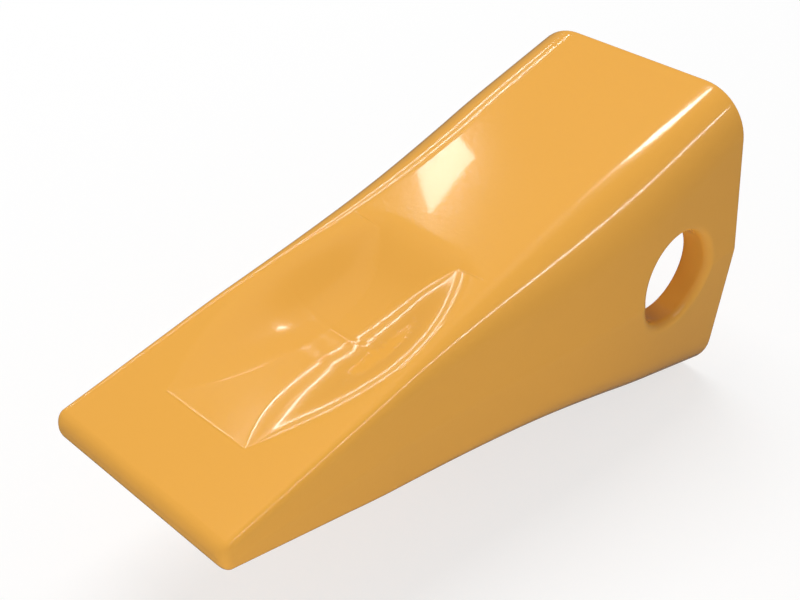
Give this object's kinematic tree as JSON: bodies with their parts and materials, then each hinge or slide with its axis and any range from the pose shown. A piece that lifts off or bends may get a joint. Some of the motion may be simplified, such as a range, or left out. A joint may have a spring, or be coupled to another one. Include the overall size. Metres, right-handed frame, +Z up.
{
  "type": "bucket tooth tip",
  "caption": "Cast steel bucket tooth tip: long wedge with a scoop behind the cutting edge, a tapered nose socket and a cross pin hole through both side walls.",
  "frame": {"origin": "middle of the cross pin's axis, halfway between the side walls", "axes": "+X from the socket mouth towards the cutting edge, +Y along the cross pin's axis, +Z up on the side with the scoop"},
  "size_m": [0.25, 0.1102, 0.1302],
  "materials": {
    "painted_casting": "glossy yellow-orange enamel over a cast surface"
  },
  "bodies": {
    "root": {"tooth_tip": "painted_casting"}
  },
  "joints": []
}
